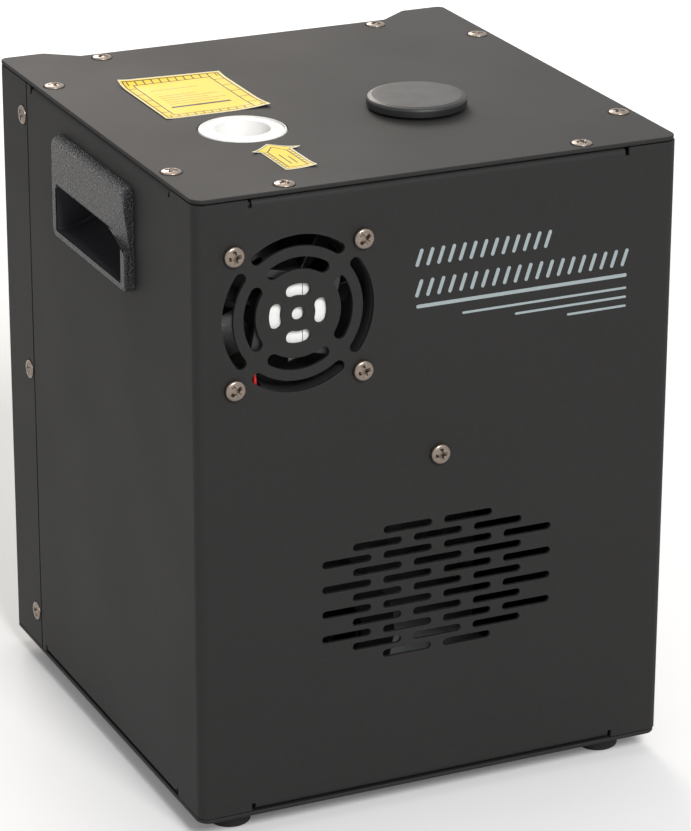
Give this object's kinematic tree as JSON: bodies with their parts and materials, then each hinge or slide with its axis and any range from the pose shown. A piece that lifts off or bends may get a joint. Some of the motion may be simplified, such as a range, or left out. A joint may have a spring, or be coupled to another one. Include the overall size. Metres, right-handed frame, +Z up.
{
  "type": "cold spark machine",
  "caption": "Box-shaped stage effect machine with a spark nozzle and powder port on top, a fan and air slots in front, cup handles at the sides and controls behind.",
  "frame": {"origin": "on the surface that the feet stand on, under the middle of the whole machine", "axes": "+Z up, the front with the fan and the air slots faces -Y, the controls face +Y, and +X is to the right as seen from the front"},
  "size_m": [0.2, 0.2004, 0.2548],
  "materials": {
    "powder_coat": "fine matt powder coat",
    "screw_nickel": "nickel plated, bright",
    "foot_rubber": "matt",
    "handle_plastic": "moulded, finely textured",
    "nozzle_ceramic": "white, satin",
    "cap_rubber": "matt",
    "plain_aluminium": "plain",
    "plain_steel": "plain",
    "plain_brass": "plain",
    "insulation": "woven ceramic fibre",
    "black_plastic": "satin",
    "circuit_board": "green solder mask",
    "display_lens": "dark smoked, glossy",
    "button_plastic": "satin"
  },
  "bodies": {
    "case": {"main_shell": "powder_coat", "top_plate": "powder_coat", "bottom_plate": "powder_coat", "rear_cover": "powder_coat", "top_screw_1": "screw_nickel", "top_screw_2": "screw_nickel", "top_screw_3": "screw_nickel", "top_screw_4": "screw_nickel", "top_screw_5": "screw_nickel", "top_screw_6": "screw_nickel", "top_screw_7": "screw_nickel", "top_screw_8": "screw_nickel", "fan_screw_1": "screw_nickel", "fan_screw_2": "screw_nickel", "fan_screw_3": "screw_nickel", "fan_screw_4": "screw_nickel", "bracket_screw": "screw_nickel", "foot_1": "foot_rubber", "foot_2": "foot_rubber", "foot_3": "foot_rubber", "foot_4": "foot_rubber", "handle_left": "handle_plastic", "handle_right": "handle_plastic", "spark_nozzle": "nozzle_ceramic", "feed_port_collar": "plain_aluminium", "powder_hopper": "plain_aluminium", "feed_housing": "plain_aluminium", "feed_gearbox": "plain_steel", "feed_motor": "plain_aluminium", "heater_tube": "plain_steel", "heater_band": "plain_brass", "insulation_sleeve": "insulation", "air_duct": "black_plastic", "blower_housing": "black_plastic", "blower_motor": "plain_steel", "partition": "plain_aluminium", "feeder_shelf": "plain_aluminium", "fan_frame": "black_plastic", "power_supply": "plain_aluminium", "control_board": "circuit_board", "display_board": "circuit_board", "display_window": "display_lens", "dmx_in_socket": "screw_nickel", "dmx_out_socket": "screw_nickel", "power_inlet": "black_plastic", "fuse_holder": "black_plastic", "switch_frame": "black_plastic"},
    "fan_wheel": {"fan_rotor": "black_plastic"},
    "blower_wheel": {"blower_impeller": "black_plastic"},
    "feed_drive": {"feed_screw": "plain_steel", "shaft_coupler": "plain_brass"},
    "port_cap": {"feed_cap": "cap_rubber"},
    "rocker": {"power_rocker": "black_plastic"},
    "button_1": {"menu_button_1": "button_plastic"},
    "button_2": {"menu_button_2": "button_plastic"},
    "button_3": {"menu_button_3": "button_plastic"},
    "button_4": {"menu_button_4": "button_plastic"},
    "data_latch": {"dmx_out_latch": "plain_steel"},
    "fuse_carrier": {"fuse_cap": "black_plastic"}
  },
  "joints": [
    {"name": "fan_spin", "type": "hinge", "parent": "case", "child": "fan_wheel", "pos_m": [-0.0563, -0.0836, 0.2032], "axis": [0, 1, 0], "continuous": true},
    {"name": "blower_spin", "type": "hinge", "parent": "case", "child": "blower_wheel", "pos_m": [-0.02004, -0.0251, 0.0466], "axis": [0, 1, 0], "continuous": true},
    {"name": "feed_spin", "type": "hinge", "parent": "case", "child": "feed_drive", "pos_m": [0.01, -0.0251, 0.1466], "axis": [1, 0, 0], "continuous": true},
    {"name": "feed_cap_lift", "type": "slide", "parent": "case", "child": "port_cap", "axis": [0, 0, 1], "range_m": [0, 0.03]},
    {"name": "power_rock", "type": "hinge", "parent": "case", "child": "rocker", "pos_m": [-0.044, 0.0893, 0.054], "axis": [1, 0, 0], "range_deg": [0, 18]},
    {"name": "button_1_press", "type": "slide", "parent": "case", "child": "button_1", "axis": [0, -1, 0], "range_m": [0, 0.0008], "stiffness_N_per_m": 400},
    {"name": "button_2_press", "type": "slide", "parent": "case", "child": "button_2", "axis": [0, -1, 0], "range_m": [0, 0.0008], "stiffness_N_per_m": 400},
    {"name": "button_3_press", "type": "slide", "parent": "case", "child": "button_3", "axis": [0, -1, 0], "range_m": [0, 0.0008], "stiffness_N_per_m": 400},
    {"name": "button_4_press", "type": "slide", "parent": "case", "child": "button_4", "axis": [0, -1, 0], "range_m": [0, 0.0008], "stiffness_N_per_m": 400},
    {"name": "data_latch_press", "type": "slide", "parent": "case", "child": "data_latch", "axis": [0, -1, 0], "range_m": [0, 0.0015], "stiffness_N_per_m": 800},
    {"name": "fuse_cap_pull", "type": "slide", "parent": "case", "child": "fuse_carrier", "axis": [0, 1, 0], "range_m": [0, 0.025]}
  ]
}
